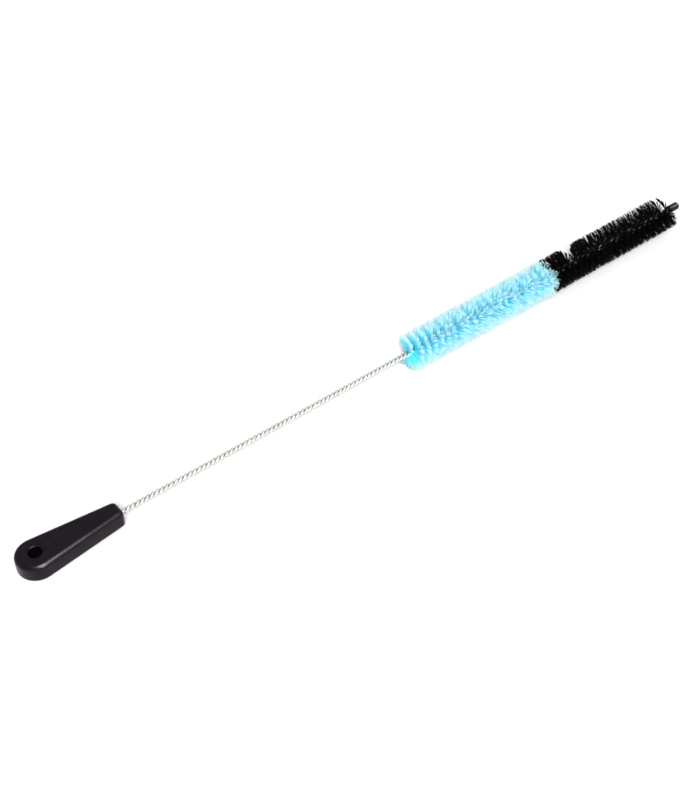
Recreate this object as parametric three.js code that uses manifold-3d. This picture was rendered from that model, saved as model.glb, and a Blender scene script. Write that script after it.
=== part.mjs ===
// A hose cleaning brush. Two steel wires are twisted together into a stem. Nylon filaments lie
// side by side between the wires, so the twist spreads them into a spiral brush, blue first and
// then black. A moulded handle with a hanging hole grips one end of the stem, and a soft cap
// covers the cut wire ends at the other.
//
// Millimetres, +Z up. Each piece is drawn along +X with its axis on y = 0, z = 0 and the heel of
// the handle at x = 0. The finished brush is then laid down on z = 0 as it rests on a table: on
// the heel of the handle and on its first bristles.
import * as THREE from "three";
import { mergeVertices } from "three/addons/utils/BufferGeometryUtils.js";
import Module from "manifold-3d";

const wasm = await Module();
wasm.setup();

// Handle
const handleLength = 63;
const heelWidth = 22.8; // across the round heel, which the hanging hole shares its centre with
const mouthWidth = 11.6; // across the end that the stem comes out of
const mouthCornerRadius = 3;
const handleThickness = 11.4;
const handleEdgeRadius = 2.6;
const hangingHoleDiameter = 8;
const hangingHoleEdgeRadius = 0.4;
const gripDepth = 40; // length of stem held inside the handle

// Stem
const wireDiameter = 1.6;
const bareStemLength = 201; // from the mouth of the handle to the first bristles
const bareLead = 6.2; // length of one full turn where the wires lie on each other
const wireGap = 0.3; // between the two wires there
const stemClearance = 0.2; // round the stem in the handle and in the cap
const stemEndClearance = 0.3; // beyond each end of the stem
const twistHand = -1; // the wires are twisted to the left

// Bristles
const brushDiameter = 23;
const blueLength = 117;
const blackLength = 107.5;
const colourGap = 0.4; // between the last blue filament's bundle and the first black one's
const bristledLead = 10.6; // the filaments hold the wires apart, so the twist is slacker here
const bundleThickness = 0.3; // the filaments where the wires pinch them, side by side
const bundleWidth = 2.5; // across the pinched bundle, edge to edge
const bundleClearance = 0.15; // between the bundle and each wire
const wireOpeningLength = 4; // over which the wires open from the bare gap to the bundle
const filamentPitch = 1.12; // one drawn filament stands for a tuft of real ones
const strandRootWidth = 0.5;
const strandTipWidth = 0.36;

// The dent where the black bristles are pushed apart
const dentFromBlue = 21; // from the end of the blue bristles
const dentOpening = 7.5; // across the V at the tips of the bristles
const dentReach = 13; // along the brush to either side, over which the bristles lean away
const dentAngle = 33; // degrees up from +Y, looking from the cap

// Cap
const capWall = 0.45;
const capEndThickness = 2.4;
const capLength = 10;
const capGap = 0.4; // between the last bristles and the cap
const capRimChamfer = 0.3;
const capNoseRadius = 1.4;

// Fineness of the facets
const wireSides = 6;
const wireStepsPerTurn = 7;
const roundSegments = 24;
const arcSegments = 10;
const edgeSegments = 3;
const noseSegments = 4;

// Radii about the axis of the brush
const closedRadius = (wireDiameter + wireGap) / 2;
const openRadius = (wireDiameter + bundleThickness) / 2 + bundleClearance;
const bareStemRadius = closedRadius + wireDiameter / 2;
const openStemRadius = openRadius + wireDiameter / 2;
const brushRadius = brushDiameter / 2;

// Each wire is cut off square to itself, so its end reaches past the end of its centre line.
const fullTurn = 2 * Math.PI;
function cutReach(radius, lead) {
  return (wireDiameter / 2) * Math.sin(Math.atan2(fullTurn * radius, lead));
}

// Places along the brush
const mouth = handleLength;
const bristleStart = mouth + bareStemLength;
const blueEnd = bristleStart + blueLength;
const blackStart = blueEnd + colourGap;
const bristleEnd = blackStart + blackLength;
const capStart = bristleEnd + capGap;
const capEnd = capStart + capLength;
const stemStart = mouth - gripDepth;
const boreBottom = stemStart - cutReach(closedRadius, bareLead) - stemEndClearance;
const capBoreEnd = capEnd - capEndThickness;
const stemEnd = capBoreEnd - stemEndClearance - cutReach(openRadius, bristledLead);

// Finishes
const blackPlastic = new THREE.MeshStandardMaterial({ color: 0x1f1b1f, roughness: 0.32 });
const zincWire = new THREE.MeshStandardMaterial({ color: 0xd9d8d2, roughness: 0.35, metalness: 1 });
const blueNylon = new THREE.MeshStandardMaterial({ color: 0x6fd3fb, roughness: 0.45 });
const blackNylon = new THREE.MeshStandardMaterial({ color: 0x100d10, roughness: 0.4 });
const blackVinyl = new THREE.MeshStandardMaterial({ color: 0x171518, roughness: 0.45 });

// A closed geometry as a solid that can be cut.
function solidOf(geometry) {
  const bare = geometry.clone();
  bare.deleteAttribute("normal");
  bare.deleteAttribute("uv");
  const merged = mergeVertices(bare, 1e-4);
  const mesh = new wasm.Mesh({
    numProp: 3,
    vertProperties: merged.attributes.position.array,
    triVerts: new Uint32Array(merged.index.array),
  });
  return new wasm.Manifold(mesh);
}

// A solid back as a geometry.
function geometryOf(solid) {
  const mesh = solid.getMesh();
  const geometry = new THREE.BufferGeometry();
  geometry.setAttribute("position", new THREE.BufferAttribute(mesh.vertProperties, 3));
  geometry.setIndex(new THREE.BufferAttribute(mesh.triVerts, 1));
  geometry.computeVertexNormals();
  return geometry;
}

function piece(name, geometry, material) {
  const mesh = new THREE.Mesh(geometry, material);
  mesh.name = name;
  return mesh;
}

// Handle: a flat tapered bar, moulded in one piece. Its outline is a round heel and two small
// mouth corners joined by straight sides that are tangent to both.
function handleOutline() {
  const heelRadius = heelWidth / 2;
  const cornerX = handleLength - mouthCornerRadius;
  const cornerY = mouthWidth / 2 - mouthCornerRadius;
  const run = cornerX - heelRadius;
  const sideAngle =
    Math.acos((heelRadius - mouthCornerRadius) / Math.hypot(run, cornerY)) + Math.atan2(cornerY, run);
  const outline = new THREE.Shape();
  outline.absarc(heelRadius, 0, heelRadius, sideAngle, 2 * Math.PI - sideAngle, false);
  outline.absarc(cornerX, -cornerY, mouthCornerRadius, -sideAngle, 0, false);
  outline.absarc(cornerX, cornerY, mouthCornerRadius, 0, sideAngle, false);
  outline.closePath();
  return outline;
}

// The hanging hole goes straight through and opens a little at both faces.
function hangingHole() {
  const radius = hangingHoleDiameter / 2;
  const face = handleThickness / 2;
  const flare = hangingHoleEdgeRadius;
  const past = face + flare;
  const profile = [
    new THREE.Vector2(0, -past),
    new THREE.Vector2(radius + flare, -past),
    new THREE.Vector2(radius + flare, -face),
    new THREE.Vector2(radius, flare - face),
    new THREE.Vector2(radius, face - flare),
    new THREE.Vector2(radius + flare, face),
    new THREE.Vector2(radius + flare, past),
    new THREE.Vector2(0, past),
  ];
  const hole = new THREE.LatheGeometry(profile, roundSegments);
  hole.rotateX(Math.PI / 2);
  hole.translate(heelWidth / 2, 0, 0);
  return hole;
}

// The blind bore that the stem is moulded into.
function stemBore() {
  const radius = bareStemRadius + stemClearance;
  const top = mouth + handleEdgeRadius;
  const bore = new THREE.CylinderGeometry(radius, radius, top - boreBottom, roundSegments);
  bore.rotateZ(Math.PI / 2);
  bore.translate((top + boreBottom) / 2, 0, 0);
  return bore;
}

function handle() {
  const bar = new THREE.ExtrudeGeometry(handleOutline(), {
    depth: handleThickness - 2 * handleEdgeRadius,
    bevelThickness: handleEdgeRadius,
    bevelSize: handleEdgeRadius,
    bevelOffset: -handleEdgeRadius,
    bevelSegments: edgeSegments,
    curveSegments: arcSegments,
  });
  bar.translate(0, 0, handleEdgeRadius - handleThickness / 2);
  const cut = solidOf(bar).subtract(solidOf(hangingHole())).subtract(solidOf(stemBore()));
  return piece("handle", geometryOf(cut), blackPlastic);
}

// The twist: how far the pair of wires has turned at x, at which x it has turned that far, and how
// far each wire lies from the axis.
const bareTurn = (fullTurn * (bristleStart - stemStart)) / bareLead;

function turnAt(x) {
  const bare = Math.min(x, bristleStart) - stemStart;
  const bristled = Math.max(x - bristleStart, 0);
  return fullTurn * (bare / bareLead + bristled / bristledLead);
}

function placeAt(turn) {
  const bare = Math.min(turn, bareTurn);
  const bristled = turn - bare;
  return stemStart + (bare * bareLead + bristled * bristledLead) / fullTurn;
}

function wireRadiusAt(x) {
  const opened = THREE.MathUtils.smoothstep(x, bristleStart - wireOpeningLength, bristleStart);
  return THREE.MathUtils.lerp(closedRadius, openRadius, opened);
}

// The centre line of one wire. Its steps are even in turn, so each turn has the same facets.
class TwistedWire extends THREE.Curve {
  constructor(phase) {
    super();
    this.phase = phase;
  }
  getUtoTmapping(u) {
    return u;
  }
  getPoint(t, point = new THREE.Vector3()) {
    const turn = t * turnAt(stemEnd);
    const x = placeAt(turn);
    const radius = wireRadiusAt(x);
    const angle = twistHand * turn + this.phase;
    return point.set(x, radius * Math.cos(angle), radius * Math.sin(angle));
  }
}

const wireTurns = turnAt(stemEnd) / fullTurn;
const wireSteps = Math.ceil(wireTurns * wireStepsPerTurn);

function stemWire(name, phase) {
  const section = new THREE.Shape();
  for (let i = 0; i < wireSides; i++) {
    const angle = (fullTurn * i) / wireSides;
    const y = (wireDiameter / 2) * Math.sin(angle);
    const x = (wireDiameter / 2) * Math.cos(angle);
    if (i === 0) section.moveTo(x, y);
    else section.lineTo(x, y);
  }
  const path = new TwistedWire(phase);
  const wire = new THREE.ExtrudeGeometry(section, { steps: wireSteps, extrudePath: path });
  return piece(name, wire, zincWire);
}

// The least gap between two wires, or between the turns of one, measured on points of the
// centre lines. Neighbours on one line that are closer along it than apart are left out.
function leastGap(first, second, along) {
  let least = Infinity;
  for (const a of first) {
    for (const b of second) {
      if (along && Math.abs(a.x - b.x) < along) continue;
      least = Math.min(least, a.distanceTo(b));
    }
  }
  return least - wireDiameter;
}

// Bristles: each filament crosses the axis between the wires and stands out on both sides. The
// pinched middles form a twisted ribbon, and the strands rise from its two edges.
function dentLean(x, angle) {
  const along = (x - blueEnd - dentFromBlue) / dentReach;
  if (Math.abs(along) >= 1) return 0;
  const facing = Math.max(0, Math.cos(angle - THREE.MathUtils.degToRad(dentAngle)));
  return (Math.sign(along) * (1 - Math.abs(along)) * facing * dentOpening) / 2;
}

function bristles(name, start, end, material) {
  const count = Math.round((end - start) / filamentPitch);
  const pitch = (end - start - strandRootWidth) / (count - 1);
  const edge = bundleWidth / 2;
  const face = bundleThickness / 2;
  const points = [];
  const triangles = [];
  const quad = (a, b, c, d) => triangles.push(a, b, c, a, c, d);
  const filamentAngle = (x) => twistHand * turnAt(x) + Math.PI / 2;

  // A point at a distance out along the filament and a height above the face of the ribbon.
  const place = (x, angle, out, height) => {
    const y = out * Math.cos(angle) - height * Math.sin(angle);
    const z = out * Math.sin(angle) + height * Math.cos(angle);
    points.push(x, y, z);
    return points.length / 3 - 1;
  };

  // The ribbon at x, clockwise as seen from the cap: corners 0, 1, 3 and 4, mid-faces 2 and 5.
  const ribbonRing = (x) => {
    const angle = filamentAngle(x);
    const across = [edge, edge, 0, -edge, -edge, 0];
    const above = [face, -face, -face, -face, face, face];
    return across.map((out, i) => place(x, angle, out, above[i]));
  };
  const ribbonSides = (near, far, sides) => {
    for (const a of sides) {
      const b = (a + 1) % 6;
      quad(near[a], far[a], far[b], near[b]);
    }
  };

  // One strand with a chisel tip, in place of the ribbon's edge between corners a and a + 1.
  const strand = (near, far, a, x, side) => {
    const b = a + 1;
    const angle = filamentAngle(x);
    const lean = dentLean(x, side > 0 ? angle : angle + Math.PI);
    const tipNear = place(x + lean - strandTipWidth / 2, angle, side * brushRadius, 0);
    const tipFar = place(x + lean + strandTipWidth / 2, angle, side * brushRadius, 0);
    quad(near[a], far[a], tipFar, tipNear);
    triangles.push(far[a], far[b], tipFar);
    quad(far[b], near[b], tipNear, tipFar);
    triangles.push(near[b], near[a], tipNear);
  };

  let last;
  for (let i = 0; i < count; i++) {
    const x = start + strandRootWidth / 2 + i * pitch;
    const near = ribbonRing(x - strandRootWidth / 2);
    const far = ribbonRing(x + strandRootWidth / 2);
    if (last) {
      ribbonSides(last, near, [0, 1, 2, 3, 4, 5]);
    } else {
      quad(near[0], near[1], near[2], near[5]);
      quad(near[5], near[2], near[3], near[4]);
    }
    ribbonSides(near, far, [1, 2, 4, 5]);
    strand(near, far, 0, x, 1);
    strand(near, far, 3, x, -1);
    last = far;
  }
  quad(last[5], last[2], last[1], last[0]);
  quad(last[4], last[3], last[2], last[5]);

  const geometry = new THREE.BufferGeometry();
  geometry.setAttribute("position", new THREE.Float32BufferAttribute(points, 3));
  geometry.setIndex(triangles);
  geometry.computeVertexNormals();
  return piece(name, geometry, material);
}

// Cap: a soft tube with a rounded nose, closed over the cut ends of the wires.
function tipCap() {
  const bore = openStemRadius + stemClearance;
  const outer = bore + capWall;
  const profile = [
    new THREE.Vector2(0, capBoreEnd),
    new THREE.Vector2(bore, capBoreEnd),
    new THREE.Vector2(bore, capStart),
    new THREE.Vector2(outer - capRimChamfer, capStart),
    new THREE.Vector2(outer, capStart + capRimChamfer),
  ];
  for (let i = 0; i <= noseSegments; i++) {
    const angle = ((Math.PI / 2) * i) / noseSegments;
    const radius = outer - capNoseRadius * (1 - Math.cos(angle));
    profile.push(new THREE.Vector2(radius, capEnd - capNoseRadius * (1 - Math.sin(angle))));
  }
  profile.push(new THREE.Vector2(0, capEnd));
  const cap = new THREE.LatheGeometry(profile, roundSegments);
  cap.rotateZ(-Math.PI / 2);
  return piece("tip_cap", cap, blackVinyl);
}

// Assembly, in the order in which the brush is made.
const brush = new THREE.Group();
brush.add(stemWire("stem_wire_1", 0));
brush.add(stemWire("stem_wire_2", Math.PI));
brush.add(bristles("blue_bristles", bristleStart, blueEnd, blueNylon));
brush.add(bristles("black_bristles", blackStart, bristleEnd, blackNylon));
brush.add(tipCap());
brush.add(handle());

// The brush is fatter than the handle is thick, so at rest it tips up towards the cap: it stands
// on the heel's lower edge and on the first bristles.
const restRise = brushRadius - handleThickness / 2;
brush.rotation.y = -Math.atan2(restRise, bristleStart - handleEdgeRadius);
const box = new THREE.Box3().setFromObject(brush, true);
const centre = box.getCenter(new THREE.Vector3());
brush.position.set(-centre.x, -centre.y, -box.min.z);

const wireLines = [0, Math.PI].map((phase) => new TwistedWire(phase).getPoints(wireSteps * 4));
const betweenWires = leastGap(wireLines[0], wireLines[1], 0);
const betweenTurns = leastGap(wireLines[0], wireLines[0], bareLead / 2);
console.log(`stem wires: ${betweenWires.toFixed(2)} mm apart, ${betweenTurns.toFixed(2)} mm between turns`);

const part = new THREE.Group();
part.add(brush);
export default part;
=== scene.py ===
import math
import bmesh
import bpy
import numpy as np
from mathutils import Matrix, Quaternion, Vector


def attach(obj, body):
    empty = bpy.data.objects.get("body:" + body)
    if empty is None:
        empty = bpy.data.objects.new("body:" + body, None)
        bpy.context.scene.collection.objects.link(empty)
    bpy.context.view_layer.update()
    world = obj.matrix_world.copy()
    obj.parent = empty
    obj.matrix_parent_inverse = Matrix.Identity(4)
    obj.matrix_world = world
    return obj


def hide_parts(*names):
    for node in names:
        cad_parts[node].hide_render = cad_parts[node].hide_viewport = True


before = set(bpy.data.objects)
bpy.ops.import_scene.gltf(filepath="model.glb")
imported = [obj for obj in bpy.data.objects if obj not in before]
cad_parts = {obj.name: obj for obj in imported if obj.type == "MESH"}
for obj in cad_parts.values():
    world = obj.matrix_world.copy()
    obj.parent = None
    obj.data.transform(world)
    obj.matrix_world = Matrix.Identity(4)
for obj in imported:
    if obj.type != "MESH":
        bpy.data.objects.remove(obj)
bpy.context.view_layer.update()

# Camera: stands to the front left of the handle and looks down across the brush, which runs
# from the lower left of the picture to the upper right.
camera_place = Vector((-0.41166, -0.49809, 0.58348))
camera_aim = Vector((-0.03356, -0.00571, 0.006))
camera_roll = Quaternion((0, 0, 1), math.radians(-0.657))
camera_data = bpy.data.cameras.new("camera")
camera_data.sensor_fit = "VERTICAL"
camera_data.sensor_height = 36
camera_data.lens = 65.017
camera = bpy.data.objects.new("camera", camera_data)
bpy.context.collection.objects.link(camera)
camera.location = camera_place
camera.rotation_mode = "QUATERNION"
camera.rotation_quaternion = (camera_aim - camera_place).to_track_quat("-Z", "Y") @ camera_roll
bpy.context.scene.camera = camera
bpy.context.scene.view_settings.view_transform = "Standard"

# Floor: a plain white sheet that runs out past the picture on all sides. It takes the soft
# shadow of the brush and otherwise shows as white, also far out, where the lamps don't reach.
sheet_reach = 6
near_sheet = 0.4
near_sheet_glow = 0.22
far_sheet = 2.5
far_sheet_glow = 0.8
mirrored_sheet = 0.3
floor_mesh = bpy.data.meshes.new("floor")
bm = bmesh.new()
bmesh.ops.create_grid(bm, x_segments=1, y_segments=1, size=sheet_reach)
bm.to_mesh(floor_mesh)
bm.free()
floor = bpy.data.objects.new("floor", floor_mesh)
bpy.context.collection.objects.link(floor)
white_sheet = bpy.data.materials.new("white_sheet")
white_sheet.use_nodes = True
nodes, links = white_sheet.node_tree.nodes, white_sheet.node_tree.links
paper = nodes["Principled BSDF"]
paper.inputs["Base Color"].default_value = (0.8, 0.8, 0.8, 1)
paper.inputs["Roughness"].default_value = 0.9
paper.inputs["Specular IOR Level"].default_value = 0
paper.inputs["Emission Color"].default_value = (1, 1, 1, 1)


# One where the camera sees a surface directly, and the mirrored share of that where it sees the
# surface in metal, gloss or clear plastic.
def seen_or_mirrored(nodes, links, mirrored_share):
    ray = nodes.new("ShaderNodeLightPath")
    mirrored = nodes.new("ShaderNodeMath")
    mirrored.operation = "MAXIMUM"
    links.new(ray.outputs["Is Glossy Ray"], mirrored.inputs[0])
    links.new(ray.outputs["Is Transmission Ray"], mirrored.inputs[1])
    seen = nodes.new("ShaderNodeMath")
    seen.operation = "MULTIPLY_ADD"
    seen.use_clamp = True
    links.new(mirrored.outputs[0], seen.inputs[0])
    seen.inputs[1].default_value = mirrored_share
    links.new(ray.outputs["Is Camera Ray"], seen.inputs[2])
    return seen.outputs[0]


sheet_place = nodes.new("ShaderNodeTexCoord")
far_out = nodes.new("ShaderNodeVectorMath")
far_out.operation = "LENGTH"
links.new(sheet_place.outputs["Object"], far_out.inputs[0])
glow_range = nodes.new("ShaderNodeMapRange")
glow_range.inputs["From Min"].default_value = near_sheet
glow_range.inputs["From Max"].default_value = far_sheet
glow_range.inputs["To Min"].default_value = near_sheet_glow
glow_range.inputs["To Max"].default_value = far_sheet_glow
links.new(far_out.outputs["Value"], glow_range.inputs["Value"])
glow = nodes.new("ShaderNodeMath")
glow.operation = "MULTIPLY"
links.new(seen_or_mirrored(nodes, links, mirrored_sheet), glow.inputs[0])
links.new(glow_range.outputs["Result"], glow.inputs[1])
links.new(glow.outputs[0], paper.inputs["Emission Strength"])
floor_mesh.materials.append(white_sheet)

# Light: a white room that lights the brush from all round, a large lamp from the camera's side that
# doesn't show in gloss, and a wide weak lamp overhead. In a mirror, the room is white on the near
# right and dimmer towards the far left.
wall_light = 0.4
mirrored_bright_side = (0.6, -0.75, -0.28)
mirrored_far_side = 0.54
mirrored_dim_until = -0.6
mirrored_white_from = 0.3
room = bpy.data.worlds.new("room")
bpy.context.scene.world = room
room.use_nodes = True
nodes, links = room.node_tree.nodes, room.node_tree.links
outlook = nodes.new("ShaderNodeTexCoord")
nearness = nodes.new("ShaderNodeVectorMath")
nearness.operation = "DOT_PRODUCT"
nearness.inputs[1].default_value = mirrored_bright_side
links.new(outlook.outputs["Generated"], nearness.inputs[0])
mirrored_room = nodes.new("ShaderNodeMapRange")
mirrored_room.interpolation_type = "SMOOTHSTEP"
mirrored_room.inputs["From Min"].default_value = mirrored_dim_until
mirrored_room.inputs["From Max"].default_value = mirrored_white_from
mirrored_room.inputs["To Min"].default_value = mirrored_far_side
mirrored_room.inputs["To Max"].default_value = 1
links.new(nearness.outputs["Value"], mirrored_room.inputs["Value"])
ray = nodes.new("ShaderNodeLightPath")
seen_room = nodes.new("ShaderNodeMath")
seen_room.operation = "MAXIMUM"
links.new(ray.outputs["Is Camera Ray"], seen_room.inputs[0])
links.new(mirrored_room.outputs["Result"], seen_room.inputs[1])
lit_room = nodes.new("ShaderNodeMix")
lit_room.inputs["A"].default_value = wall_light
links.new(seen_or_mirrored(nodes, links, mirrored_share=1), lit_room.inputs["Factor"])
links.new(seen_room.outputs[0], lit_room.inputs["B"])
links.new(lit_room.outputs["Result"], nodes["Background"].inputs["Strength"])
nodes["Background"].inputs["Color"].default_value = (1, 1, 1, 1)


def add_lamp(name, place, aim, width, power):
    lamp_data = bpy.data.lights.new(name, "AREA")
    lamp_data.shape = "DISK"
    lamp_data.size = width
    lamp_data.energy = power
    lamp = bpy.data.objects.new(name, lamp_data)
    bpy.context.collection.objects.link(lamp)
    lamp.visible_camera = False
    lamp.location = place
    lamp.rotation_mode = "QUATERNION"
    lamp.rotation_quaternion = (Vector(aim) - Vector(place)).to_track_quat("-Z", "Y")
    return lamp


front_lamp = add_lamp("front_lamp", place=(-1.6, -2, 2.4), aim=(0, 0, 0), width=1.2, power=134)
front_lamp.visible_glossy = False
add_lamp("soft_lamp", place=(0.25, -0.1, 1.3), aim=(0, 0, 0), width=1.2, power=2.2)

# Stem: two bright zinc-coated steel wires, twisted to the left round each other. The twist is
# tight on the bare stem. Further on it is slacker, because the filaments lie between the wires
# and hold them apart.
wire_radius = 0.00087
closed_spread = 0.00088
open_spread = 0.00106
opening_length = 0.004
bare_lead = 0.0062
bristled_lead = 0.0106
stem_start = 0.023
bristle_start = 0.264
stem_end = 0.49616
wire_sides = 12
steps_per_turn = 28
full_turn = 2 * math.pi

# Every piece is made along X with the heel of the handle at zero, and is then laid down as the
# brush rests: on the heel and on its first bristles.
brush_rise = math.radians(1.27108)
heel_place = (-0.249565, 0, 0.005641)
lay_down = Matrix.Translation(heel_place) @ Matrix.Rotation(-brush_rise, 4, "Y")


def new_material(name):
    material = bpy.data.materials.new(name)
    material.use_nodes = True
    tree = material.node_tree
    return material, tree.nodes, tree.links, tree.nodes["Principled BSDF"]


def add_piece(mesh, name, material, stands_for):
    mesh.materials.append(material)
    mesh.shade_smooth()
    piece = bpy.data.objects.new(name, mesh)
    bpy.context.collection.objects.link(piece)
    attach(piece, "root")
    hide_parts(stands_for)
    return piece


# A lamp that only draws highlights, on these pieces alone.
def add_highlight(name, place, aim, width, power, pieces):
    lamp = add_lamp(name, place, aim, width, power)
    lamp.visible_diffuse = False
    lit = bpy.data.collections.new(name + "_pieces")
    for piece in pieces:
        lit.objects.link(piece)
    lamp.light_linking.receiver_collection = lit
    return lamp


# Closed round tubes along lines of points. The thickness is one factor for each point of a line.
# What would reach below the floor is bent to lie along it. Blender gives a curve with a bevel
# resolution of n a tube of 4 + 2n sides.
def tube_mesh(name, lines, radius, sides, thickness):
    curve = bpy.data.curves.new(name, "CURVE")
    curve.dimensions = "3D"
    curve.bevel_depth = radius
    curve.bevel_resolution = (sides - 4) // 2
    curve.use_fill_caps = False
    for line in lines:
        line = line @ np.array(lay_down.to_3x3()).T + np.array(lay_down.translation)
        line[:, 2] = np.maximum(line[:, 2], radius)
        spline = curve.splines.new("POLY")
        spline.points.add(len(line) - 1)
        spline.points.foreach_set("co", np.insert(line, 3, 1, axis=1).ravel())
        spline.points.foreach_set("radius", thickness)
    sketch = bpy.data.objects.new(name, curve)
    bpy.context.collection.objects.link(sketch)
    solid = sketch.evaluated_get(bpy.context.evaluated_depsgraph_get())
    mesh = bpy.data.meshes.new_from_object(solid)
    bpy.data.objects.remove(sketch)
    bpy.data.curves.remove(curve)
    mesh.name = name
    bm = bmesh.new()
    bm.from_mesh(mesh)
    bmesh.ops.holes_fill(bm, edges=[e for e in bm.edges if e.is_boundary], sides=sides)
    bmesh.ops.recalc_face_normals(bm, faces=bm.faces)
    bm.to_mesh(mesh)
    bm.free()
    return mesh


def twist_at(x):
    tight = np.minimum(x, bristle_start) - stem_start
    slack = np.maximum(x - bristle_start, 0)
    return -full_turn * (tight / bare_lead + slack / bristled_lead)


# The zinc has fine streaks along the wire from drawing, and a cloudy bloom.
zinc_wire, nodes, links, metal = new_material("zinc_wire")
metal.inputs["Metallic"].default_value = 1
metal.inputs["Specular Tint"].default_value = (0.45, 0.45, 0.45, 1)
drawn = nodes.new("ShaderNodeAttribute")
drawn.attribute_name = "wire_place"
streak_size = nodes.new("ShaderNodeMapping")
streak_size.inputs["Scale"].default_value = (150, 5000, 5000)
links.new(drawn.outputs["Vector"], streak_size.inputs["Vector"])
streaks = nodes.new("ShaderNodeTexNoise")
streaks.inputs["Scale"].default_value = 1
streaks.inputs["Detail"].default_value = 3
links.new(streak_size.outputs["Vector"], streaks.inputs["Vector"])
bloom = nodes.new("ShaderNodeTexNoise")
bloom.inputs["Scale"].default_value = 700
bloom.inputs["Detail"].default_value = 4
links.new(drawn.outputs["Vector"], bloom.inputs["Vector"])
zinc_colour = nodes.new("ShaderNodeValToRGB")
zinc_colour.color_ramp.elements[0].position = 0.35
zinc_colour.color_ramp.elements[0].color = (0.72, 0.72, 0.68, 1)
zinc_colour.color_ramp.elements[1].position = 0.62
zinc_colour.color_ramp.elements[1].color = (0.86, 0.86, 0.82, 1)
links.new(bloom.outputs["Fac"], zinc_colour.inputs["Fac"])
links.new(zinc_colour.outputs["Color"], metal.inputs["Base Color"])
zinc_rough = nodes.new("ShaderNodeMapRange")
zinc_rough.inputs["To Min"].default_value = 0.34
zinc_rough.inputs["To Max"].default_value = 0.5
links.new(streaks.outputs["Fac"], zinc_rough.inputs["Value"])
links.new(zinc_rough.outputs["Result"], metal.inputs["Roughness"])
zinc_bump = nodes.new("ShaderNodeBump")
zinc_bump.inputs["Strength"].default_value = 0.35
zinc_bump.inputs["Distance"].default_value = 0.00002
links.new(streaks.outputs["Fac"], zinc_bump.inputs["Height"])
links.new(zinc_bump.outputs["Normal"], metal.inputs["Normal"])

x = np.concatenate((
    np.arange(stem_start, bristle_start, bare_lead / steps_per_turn),
    np.arange(bristle_start, stem_end, bristled_lead / steps_per_turn),
    (stem_end,),
))
spread = np.interp(x, (bristle_start - opening_length, bristle_start), (closed_spread, open_spread))
around = np.linspace(0, full_turn, wire_sides, endpoint=False)
wires = []
for name, stands_for, phase in (
    ("stem_wire_near", "stem_wire_1", 0),
    ("stem_wire_far", "stem_wire_2", math.pi),
):
    angle = phase + twist_at(x)
    line = np.stack([x, spread * np.cos(angle), spread * np.sin(angle)], 1)
    mesh = tube_mesh(name, [line], wire_radius, wire_sides, np.ones(len(x)))
    wire_place = np.stack([
        np.repeat(x, wire_sides),
        np.tile(wire_radius * np.cos(around), len(x)),
        np.tile(wire_radius * np.sin(around), len(x)),
    ], 1)
    place_mark = mesh.attributes.new("wire_place", "FLOAT_VECTOR", "POINT")
    place_mark.data.foreach_set("vector", wire_place.ravel())
    wires.append(add_piece(mesh, name, zinc_wire, stands_for))
add_highlight(
    "wire_glints", place=(-0.6, -0.75, 0.9), aim=(0.1, 0, 0.01), width=0.4, power=9, pieces=wires
)
add_highlight(
    "wire_sheen", place=(0.55, 0.7, 0.85), aim=(0, 0, 0.01), width=1.2, power=1.1, pieces=wires
)

# Blue bristles: straight light blue nylon filaments laid side by side between the two wires
# before these are twisted, so each one crosses the axis and stands out on both sides. The nylon
# lets light through; that is painted into its colour, paler towards the tips, and deeper at the
# roots as painted shade among the filaments. The tips are cut a little unevenly.
brush_radius = 0.0115
blue_end = 0.381
blue_count = 4400
blue_radius = 0.00012
blue_tufts = 1400
blue_trim = 0.05
filament_reach = np.array((-1, -0.62, -0.25, 0.25, 0.62, 1))
filament_taper = 1 - 0.15 * np.abs(filament_reach)
filament_bend = 1.3
filament_sides = 4
upper_edge = math.radians(50)

# How far tufts, loose filaments and whole rows stray along the brush and fan out round it, as
# shares of the room that they have at each place.
tuft_stray = 0.9
loose_stray = 1
row_stray = 0.35
tuft_fan = 0.5
loose_fan = 1.2
blue_room = (
    (bristle_start, 0.0004),
    (bristle_start + 0.04, 0.0015),
    (blue_end - 0.005, 0.0015),
    (blue_end, 0.0022),
)

# The first and the last rows lean towards the handle. Most filaments cling to their tufts, those
# on the upper edge less and those in the last rows more.
first_blue_lean = 0.0012
first_blue_fade = 0.002
last_blue_lean = 0.003
last_blue_fade = 0.003
blue_hold = 0.55
upper_blue_hold = -0.3
last_blue_hold = 0.3


def new_group(name, inputs, outputs):
    group = bpy.data.node_groups.new(name, "ShaderNodeTree")
    for side, sockets in (("INPUT", inputs), ("OUTPUT", outputs)):
        for socket, kind in sockets.items():
            group.interface.new_socket(socket, in_out=side, socket_type="NodeSocket" + kind)
    nodes = group.nodes
    return group, nodes, group.links, nodes.new("NodeGroupInput"), nodes.new("NodeGroupOutput")


# The shades of a run of filaments: each has its own tint, and its colour pales towards the tip.
# The pale tips are painted light shining through them; the deeper roots are painted shade among them.
filament_shades, nodes, links, shades_in, shades_out = new_group(
    "filament_shades",
    inputs={"Root": "Color", "Tip": "Color"},
    outputs={"Colour": "Color", "Roughness": "Float"},
)
outward = nodes.new("ShaderNodeAttribute")
outward.attribute_name = "outward"
own_tint = nodes.new("ShaderNodeAttribute")
own_tint.attribute_name = "own_tint"
painted_tip_glow = nodes.new("ShaderNodeMath")
painted_tip_glow.operation = "POWER"
links.new(outward.outputs["Fac"], painted_tip_glow.inputs[0])
painted_tip_glow.inputs[1].default_value = 3
root_to_tip = nodes.new("ShaderNodeMix")
root_to_tip.data_type = "RGBA"
links.new(painted_tip_glow.outputs[0], root_to_tip.inputs["Factor"])
links.new(shades_in.outputs["Root"], root_to_tip.inputs["A"])
links.new(shades_in.outputs["Tip"], root_to_tip.inputs["B"])
tint_range = nodes.new("ShaderNodeMapRange")
tint_range.inputs["To Min"].default_value = 0.9
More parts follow.
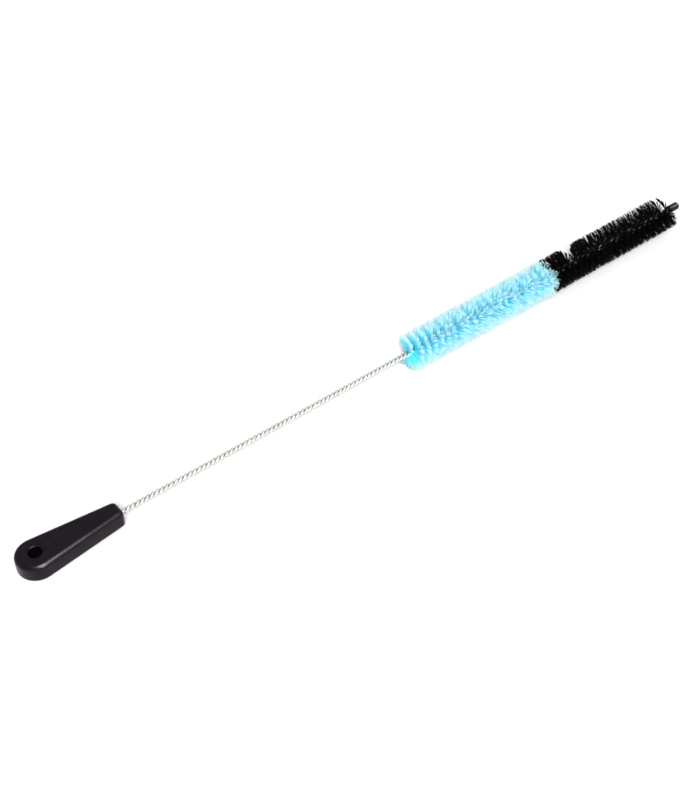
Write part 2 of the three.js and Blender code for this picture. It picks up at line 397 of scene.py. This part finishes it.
tint_range.inputs["To Max"].default_value = 1.04
links.new(own_tint.outputs["Fac"], tint_range.inputs["Value"])
tinted = nodes.new("ShaderNodeVectorMath")
tinted.operation = "SCALE"
links.new(root_to_tip.outputs["Result"], tinted.inputs[0])
links.new(tint_range.outputs["Result"], tinted.inputs["Scale"])
links.new(tinted.outputs["Vector"], shades_out.inputs["Colour"])
gloss_range = nodes.new("ShaderNodeMapRange")
gloss_range.inputs["To Min"].default_value = 0.3
gloss_range.inputs["To Max"].default_value = 0.5
links.new(own_tint.outputs["Fac"], gloss_range.inputs["Value"])
links.new(gloss_range.outputs["Result"], shades_out.inputs["Roughness"])


def nylon(name, root, tip, shine):
    material, nodes, links, skin = new_material(name)
    shades = nodes.new("ShaderNodeGroup")
    shades.node_tree = filament_shades
    shades.inputs["Root"].default_value = root
    shades.inputs["Tip"].default_value = tip
    links.new(shades.outputs["Colour"], skin.inputs["Base Color"])
    links.new(shades.outputs["Roughness"], skin.inputs["Roughness"])
    skin.inputs["Specular IOR Level"].default_value = shine
    return material


# How far a filament end lies on the side of the brush that is the upper edge in the picture.
def upper(angle):
    return 0.5 + 0.5 * np.cos(angle - upper_edge)


# The points of each filament, from tip to tip. Neighbours cling together in tufts, so the tips
# of a tuft are drawn towards its middle. Each tuft and row strays a little, and so does a loose
# filament. Where whole rows lean, their tips still end on the round that the brush was trimmed to.
def filament_points(start, end, count, tufts, trim, cling, lean, splay, chance):
    x = start + (end - start) * (np.arange(count) + chance.random(count)) / count
    angle = twist_at(x) + math.pi / 2
    tuft = ((x - start) / (end - start) * tufts).astype(int)
    middle = start + (tuft + 0.5) * (end - start) / tufts
    row = ((x - start) // (bristled_lead / 2)).astype(int)
    tip_angle = np.stack([angle + math.pi, angle], 1)
    held = cling(x[:, None], tip_angle)
    loose = 1 - held
    strays = chance.normal(0, tuft_stray, (tufts, 2))[tuft]
    strays = strays + loose * chance.normal(0, loose_stray, (count, 2))
    strays = strays + chance.normal(0, row_stray, (row.max() + 1, 2))[row]
    room = splay(x[:, None], tip_angle)
    astray = room * strays + held * (middle - x)[:, None]
    along = astray + lean(x[:, None], tip_angle)
    length = brush_radius * (1 + chance.normal(0, trim, (count, 2)))
    turned = held * (twist_at(middle) - twist_at(x))[:, None]
    fanned = chance.normal(0, tuft_fan, (tufts, 2))[tuft]
    fanned = fanned + loose * chance.normal(0, loose_fan, (count, 2))
    aside = length * turned + room * fanned
    drawn_in = 1 - np.sqrt(1 - (astray**2 + aside**2) / length**2)
    half = (filament_reach > 0).astype(int)
    bend = np.abs(filament_reach) ** filament_bend
    out = filament_reach * length[:, half] * (1 - bend * drawn_in[:, half])
    swung = np.sign(filament_reach) * bend * aside[:, half]
    cosine = np.cos(angle)[:, None]
    sine = np.sin(angle)[:, None]
    return np.stack([
        x[:, None] + bend * along[:, half],
        out * cosine - swung * sine,
        out * sine + swung * cosine,
    ], 2)


# Marks each filament with its tint, and each point with its distance out from the axis. Each
# filament has its own cell of the bake map, with its length up the cell and its sides across.
def mark_filaments(mesh, count, chance):
    rings = len(filament_reach)
    filament, place = np.divmod(np.arange(len(mesh.vertices)), rings * filament_sides)
    ring, corner = np.divmod(place, filament_sides)
    for mark, values in (
        ("outward", np.abs(filament_reach)[ring]),
        ("own_tint", chance.random(count)[filament]),
    ):
        mesh.attributes.new(mark, "FLOAT", "POINT").data.foreach_set("value", values)
    for layer in list(mesh.uv_layers):
        mesh.uv_layers.remove(layer)
    cells = mesh.uv_layers.new(name="OFBake")
    columns = math.ceil(math.sqrt(count))
    margin = 0.1
    filled = 0.8
    vertex = np.empty(len(mesh.loops), int)
    mesh.loops.foreach_get("vertex_index", vertex)
    sizes = np.empty(len(mesh.polygons), int)
    mesh.polygons.foreach_get("loop_total", sizes)
    face = np.repeat(np.arange(len(sizes)), sizes)
    across = corner[vertex].astype(float)
    wraps = np.zeros(len(sizes), bool)
    wraps[face[across == filament_sides - 1]] = True
    across[(across == 0) & wraps[face]] = filament_sides
    row, column = np.divmod(filament[vertex], columns)
    u = (column + margin + filled * across / filament_sides) / columns
    v = (row + margin + filled * ring[vertex] / (rings - 1)) / columns
    cells.uv.foreach_set("vector", np.stack([u, v], 1).ravel())


def nearness_to_black(x):
    return np.exp((x - blue_end) / last_blue_fade)


def blue_lean(x, angle):
    first = np.exp((bristle_start - x) / first_blue_fade)
    return -first_blue_lean * first - last_blue_lean * nearness_to_black(x)


def blue_cling(x, angle):
    return blue_hold + upper_blue_hold * upper(angle) + last_blue_hold * nearness_to_black(x)


def blue_splay(x, angle):
    return np.interp(x, *zip(*blue_room))


# Deep blue at the roots, painted shade among the filaments; near white at the tips, painted light shining
# through them.
blue_nylon = nylon("blue_nylon", root=(0.055, 0.78, 1, 1), tip=(0.75, 0.985, 1, 1), shine=0.2)
chance = np.random.default_rng(seed=3)
points = filament_points(
    bristle_start, blue_end, blue_count, blue_tufts, blue_trim,
    cling=blue_cling, lean=blue_lean, splay=blue_splay, chance=chance,
)
mesh = tube_mesh("blue_filaments", points, blue_radius, filament_sides, filament_taper)
mark_filaments(mesh, blue_count, chance)
add_piece(mesh, "blue_filaments", blue_nylon, "blue_bristles")

# Black bristles: the same nylon filaments in black, twisted into the far half of the brush and
# pushed open in a V at one place. The first ones and those on the near side lean back towards
# the blue. Next to the cap the upper ones lean back too, and the lower ones spread forward.
black_start = 0.3814
bristle_end = 0.4889
black_count = 4400
black_radius = 0.00015
black_tufts = 760
black_trim = 0.02
dent_place = 0.402
dent_reach = 0.013
dent_opening = 0.0145
dent_angle = math.radians(33)
near_side = math.radians(140)
near_side_lean = 0.0025
first_black_lean = 0.0025
first_black_fade = 0.004

# From this place on to the cap, the sweep of the filaments and the room of the lower ones grow.
# The higher a power, the closer to the cap its effect stays.
swept_from = 0.43
upper_sweep = 0.006
upper_sweep_power = 3
lower_sweep = 0.005
lower_sweep_power = 6
lower_room = 0.0016
lower_room_power = 5
black_room = ((black_start, 0.0011), (swept_from, 0.0009), (bristle_end, 0.0004))
black_hold = 0.35
upper_black_hold = 0.45
upper_cap_hold = 0.12


# How far a filament end points to one side of the brush.
def facing(angle, side):
    return np.maximum(0, np.cos(angle - side))


def nearness_to_cap(x):
    return np.maximum(x - swept_from, 0) / (bristle_end - swept_from)


def black_lean(x, angle):
    along = (x - dent_place) / dent_reach
    opening = np.sign(along) * np.maximum(0, 1 - np.abs(along)) * dent_opening / 2
    apart = opening * np.sqrt(facing(angle, dent_angle))
    first = first_black_lean * np.exp((black_start - x) / first_black_fade)
    near_cap = nearness_to_cap(x)
    swept_back = upper_sweep * near_cap**upper_sweep_power * upper(angle)
    swept_forward = lower_sweep * near_cap**lower_sweep_power * (1 - upper(angle))
    return apart - first - (near_side_lean * facing(angle, near_side) + swept_back) + swept_forward


def black_cling(x, angle):
    return black_hold + (upper_black_hold + upper_cap_hold * nearness_to_cap(x)) * upper(angle)


def black_splay(x, angle):
    low = lower_room * nearness_to_cap(x) ** lower_room_power * (1 - upper(angle))
    return np.interp(x, *zip(*black_room)) + low


# A little lighter at the tips: painted light, as on the blue filaments.
black_nylon = nylon(
    "black_nylon", root=(0.002, 0.0015, 0.002, 1), tip=(0.003, 0.0023, 0.003, 1), shine=0.06
)
chance = np.random.default_rng(seed=4)
points = filament_points(
    black_start, bristle_end, black_count, black_tufts, black_trim,
    cling=black_cling, lean=black_lean, splay=black_splay, chance=chance,
)
mesh = tube_mesh("black_filaments", points, black_radius, filament_sides, filament_taper)
mark_filaments(mesh, black_count, chance)
add_piece(mesh, "black_filaments", black_nylon, "black_bristles")

# Cap: a short soft black vinyl sleeve pushed over the cut ends of the two wires, so that they
# can't scratch. Its nose is rounded.
cap_start = 0.4893
cap_end = 0.4993
cap_floor = 0.0024
cap_radius = 0.00255
cap_bore = 0.0021
cap_nose = 0.0014
cap_rim = 0.0003
cap_sides = 40

# Points less than a hair apart count as one.
hair = 1e-6

# The skin of a moulded black piece: a fine grain from the mould, hazy patches where it has been
# handled, and long hairline scuffs.
moulded_skin, nodes, links, skin_in, skin_out = new_group(
    "moulded_skin",
    inputs={"Dark": "Color", "Worn": "Color", "Smooth": "Float", "Rough": "Float", "Grain": "Float"},
    outputs={"Colour": "Color", "Roughness": "Float", "Height": "Float"},
)
where = nodes.new("ShaderNodeTexCoord")
grain = nodes.new("ShaderNodeTexNoise")
grain.inputs["Detail"].default_value = 2
links.new(where.outputs["Object"], grain.inputs["Vector"])
links.new(skin_in.outputs["Grain"], grain.inputs["Scale"])
haze = nodes.new("ShaderNodeTexNoise")
haze.inputs["Scale"].default_value = 140
haze.inputs["Detail"].default_value = 5
links.new(where.outputs["Object"], haze.inputs["Vector"])
scuff_size = nodes.new("ShaderNodeMapping")
scuff_size.inputs["Rotation"].default_value = (0, 0, 0.35)
scuff_size.inputs["Scale"].default_value = (60, 2600, 400)
links.new(where.outputs["Object"], scuff_size.inputs["Vector"])
scuffs = nodes.new("ShaderNodeTexNoise")
scuffs.inputs["Scale"].default_value = 1
scuffs.inputs["Detail"].default_value = 2
links.new(scuff_size.outputs["Vector"], scuffs.inputs["Vector"])
scuff_mask = nodes.new("ShaderNodeMapRange")
scuff_mask.inputs["From Min"].default_value = 0.66
scuff_mask.inputs["From Max"].default_value = 0.78
links.new(scuffs.outputs["Fac"], scuff_mask.inputs["Value"])
haze_mask = nodes.new("ShaderNodeMapRange")
haze_mask.inputs["From Min"].default_value = 0.35
haze_mask.inputs["From Max"].default_value = 0.7
links.new(haze.outputs["Fac"], haze_mask.inputs["Value"])
dulled = nodes.new("ShaderNodeMath")
dulled.operation = "MAXIMUM"
links.new(haze_mask.outputs["Result"], dulled.inputs[0])
links.new(scuff_mask.outputs["Result"], dulled.inputs[1])
skin_colour = nodes.new("ShaderNodeMix")
skin_colour.data_type = "RGBA"
links.new(dulled.outputs[0], skin_colour.inputs["Factor"])
links.new(skin_in.outputs["Dark"], skin_colour.inputs["A"])
links.new(skin_in.outputs["Worn"], skin_colour.inputs["B"])
links.new(skin_colour.outputs["Result"], skin_out.inputs["Colour"])
skin_rough = nodes.new("ShaderNodeMapRange")
links.new(dulled.outputs[0], skin_rough.inputs["Value"])
links.new(skin_in.outputs["Smooth"], skin_rough.inputs["To Min"])
links.new(skin_in.outputs["Rough"], skin_rough.inputs["To Max"])
links.new(skin_rough.outputs["Result"], skin_out.inputs["Roughness"])
links.new(grain.outputs["Fac"], skin_out.inputs["Height"])


def moulded(name, dark, worn, smooth, rough, grain, depth, shine):
    material, nodes, links, skin = new_material(name)
    surface = nodes.new("ShaderNodeGroup")
    surface.node_tree = moulded_skin
    surface.inputs["Dark"].default_value = dark
    surface.inputs["Worn"].default_value = worn
    surface.inputs["Smooth"].default_value = smooth
    surface.inputs["Rough"].default_value = rough
    surface.inputs["Grain"].default_value = grain
    links.new(surface.outputs["Colour"], skin.inputs["Base Color"])
    links.new(surface.outputs["Roughness"], skin.inputs["Roughness"])
    bump = nodes.new("ShaderNodeBump")
    bump.inputs["Strength"].default_value = 0.5
    bump.inputs["Distance"].default_value = depth
    links.new(surface.outputs["Height"], bump.inputs["Height"])
    links.new(bump.outputs["Normal"], skin.inputs["Normal"])
    skin.inputs["Specular IOR Level"].default_value = shine
    return material


def round_edges(bm, edges, size, segments):
    bmesh.ops.bevel(
        bm, geom=edges, offset=size, segments=segments, profile=0.5, affect="EDGES", material=-1
    )


def finish_piece(bm, name, material, stands_for):
    bmesh.ops.transform(bm, matrix=lay_down, verts=bm.verts)
    mesh = bpy.data.meshes.new(name)
    bm.to_mesh(mesh)
    bm.free()
    return add_piece(mesh, name, material, stands_for)


black_vinyl = moulded(
    "black_vinyl", dark=(0.005, 0.0042, 0.0055, 1), worn=(0.009, 0.008, 0.0095, 1),
    smooth=0.26, rough=0.38, grain=3500, depth=0.000008, shine=0.18,
)
bm = bmesh.new()
cap_outline = [
    (cap_end - cap_floor, 0),
    (cap_end - cap_floor, cap_bore),
    (cap_start, cap_bore),
    (cap_start, cap_radius),
    (cap_end, cap_radius),
    (cap_end, 0),
]
corners = [bm.verts.new((x, 0, z)) for x, z in cap_outline]
profile = [bm.edges.new(pair) for pair in zip(corners, corners[1:])]
bmesh.ops.spin(bm, geom=profile, axis=(1, 0, 0), angle=full_turn, steps=cap_sides, use_merge=True)
bmesh.ops.remove_doubles(bm, verts=bm.verts, dist=hair)
bmesh.ops.recalc_face_normals(bm, faces=bm.faces)
for x, size, segments in ((cap_end, cap_nose, 6), (cap_start, cap_rim, 3)):
    rim = [
        e for e in bm.edges
        if all(abs(v.co.x - x) < hair and v.co.yz.length > cap_radius - hair for v in e.verts)
    ]
    round_edges(bm, rim, size, segments)
cap = finish_piece(bm, "tip_sleeve", black_vinyl, "tip_cap")
add_highlight(
    "cap_shine", place=(0.9, -0.3, 0.75), aim=(0.245, 0, 0.022), width=0.3, power=10, pieces=[cap]
)

# Handle: one flat tapered bar of black plastic, moulded with a bore that the stem is pressed
# into. Its edges are well rounded, its heel has a hole to hang it by, and a thin seam runs
# round the middle of its sides where the two halves of the mould met.
handle_length = 0.063
heel_radius = 0.0114
heel_centre = Vector((heel_radius, 0, 0))
mouth_width = 0.0116
mouth_corner = 0.003
handle_thickness = 0.0114
handle_edge = 0.0026
hanging_hole = 0.004
hanging_hole_edge = 0.0004
stem_bore = 0.00195
stem_bore_depth = 0.0409
seam_width = 0.0004
seam_height = 0.00005

# The faces are told apart by the rise of their normals, which is above or below these, and by
# their distance from the middle of the hole or the bore, within this share of its radius.
level = 0.999
upright = 0.01
wall_reach = 1.01
black_plastic = moulded(
    "black_plastic", dark=(0.0041, 0.001, 0.0046, 1), worn=(0.0066, 0.0031, 0.007, 1),
    smooth=0.23, rough=0.29, grain=2600, depth=0.000002, shine=0.17,
)
# The wall of the hanging hole is rougher and painted darker: painted shade inside the hole.
shaded_hole_plastic = moulded(
    "shaded_hole_plastic", dark=(0.0015, 0.0012, 0.0015, 1), worn=(0.002, 0.0016, 0.002, 1),
    smooth=0.4, rough=0.5, grain=2600, depth=0.000005, shine=0.05,
)

bm = bmesh.new()
top = handle_thickness / 2
corner_x = handle_length - mouth_corner
corner_y = mouth_width / 2 - mouth_corner
for x, y, radius, segments in (
    (heel_radius, 0, heel_radius, 96),
    (corner_x, corner_y, mouth_corner, 48),
    (corner_x, -corner_y, mouth_corner, 48),
):
    for z in (-top, top):
        bmesh.ops.create_circle(
            bm, segments=segments, radius=radius, matrix=Matrix.Translation((x, y, z))
        )
hull = bmesh.ops.convex_hull(bm, input=bm.verts)
inner = {v for v in hull["geom_interior"] + hull["geom_unused"] if isinstance(v, bmesh.types.BMVert)}
bmesh.ops.delete(bm, geom=list(inner), context="VERTS")
bmesh.ops.dissolve_limit(bm, angle_limit=0.01, verts=bm.verts, edges=bm.edges)
rims = [e for e in bm.edges if any(abs(f.normal.z) > level for f in e.link_faces)]
round_edges(bm, rims, handle_edge, segments=8)


# Cuts a round opening into a flat face, and gives the edges of its rim.
def cut_opening(bm, face, radius, place):
    outline = list(face.edges)
    bmesh.ops.delete(bm, geom=[face], context="FACES_ONLY")
    ring = bmesh.ops.create_circle(bm, segments=64, radius=radius, matrix=place)
    rim = list(dict.fromkeys(e for v in ring["verts"] for e in v.link_edges))
    bmesh.ops.triangle_fill(bm, edges=outline + rim, use_beauty=True)
    return rim


def in_hanging_hole(face):
    return (face.calc_center_median().xy - heel_centre.xy).length < hanging_hole * wall_reach


hole_rims = []
for flat in [f for f in bm.faces if abs(f.normal.z) > level]:
    z = flat.calc_center_median().z
    hole_place = Matrix.Translation(heel_centre + Vector((0, 0, z)))
    hole_rims += cut_opening(bm, flat, hanging_hole, hole_place)
bmesh.ops.bridge_loops(bm, edges=hole_rims)
bmesh.ops.recalc_face_normals(bm, faces=bm.faces)
round_edges(bm, hole_rims, hanging_hole_edge, segments=4)
mouth_face = max(bm.faces, key=lambda f: f.calc_center_median().x)
mouth_place = Matrix.Translation((handle_length, 0, 0)) @ Matrix.Rotation(math.pi / 2, 4, "Y")
bore_rim = cut_opening(bm, mouth_face, stem_bore, mouth_place)
bore = bmesh.ops.extrude_edge_only(bm, edges=bore_rim)
bore_end = [e for e in bore["geom"] if isinstance(e, bmesh.types.BMEdge) and e.is_boundary]
bore_end_corners = {v for e in bore_end for v in e.verts}
bmesh.ops.translate(bm, vec=(-stem_bore_depth, 0, 0), verts=list(bore_end_corners))
bmesh.ops.edgeloop_fill(bm, edges=bore_end)
bmesh.ops.recalc_face_normals(bm, faces=bm.faces)
for z in (-seam_width / 2, 0, seam_width / 2):
    sides = [
        f for f in bm.faces
        if abs(f.normal.z) < upright
        and not in_hanging_hole(f)
        and f.calc_center_median().yz.length > stem_bore * wall_reach
    ]
    around = {v for f in sides for v in f.verts} | {e for f in sides for e in f.edges} | set(sides)
    bmesh.ops.bisect_plane(
        bm, geom=list(around), dist=hair, plane_co=(0, 0, z), plane_no=(0, 0, 1)
    )
for v in bm.verts:
    if abs(v.co.z) < hair and v.co.x < handle_length - hair:
        v.co += v.normal * seam_height
# The wall of the hanging hole takes the darker plastic, which is painted shade.
for f in bm.faces:
    if in_hanging_hole(f):
        f.material_index = 1
handle = finish_piece(bm, "handle_moulding", black_plastic, "handle")
handle.data.materials.append(shaded_hole_plastic)
evened = handle.modifiers.new("even_normals", "WEIGHTED_NORMAL")
evened.keep_sharp = False
edge_shine = add_highlight(
    "edge_shine", place=(-0.208, -0.2104, 0.3), aim=(-0.22, 0, 0.01), width=0.2, power=6.2, pieces=[handle]
)
edge_shine.data.shape = "ELLIPSE"
edge_shine.data.size_y = 0.5
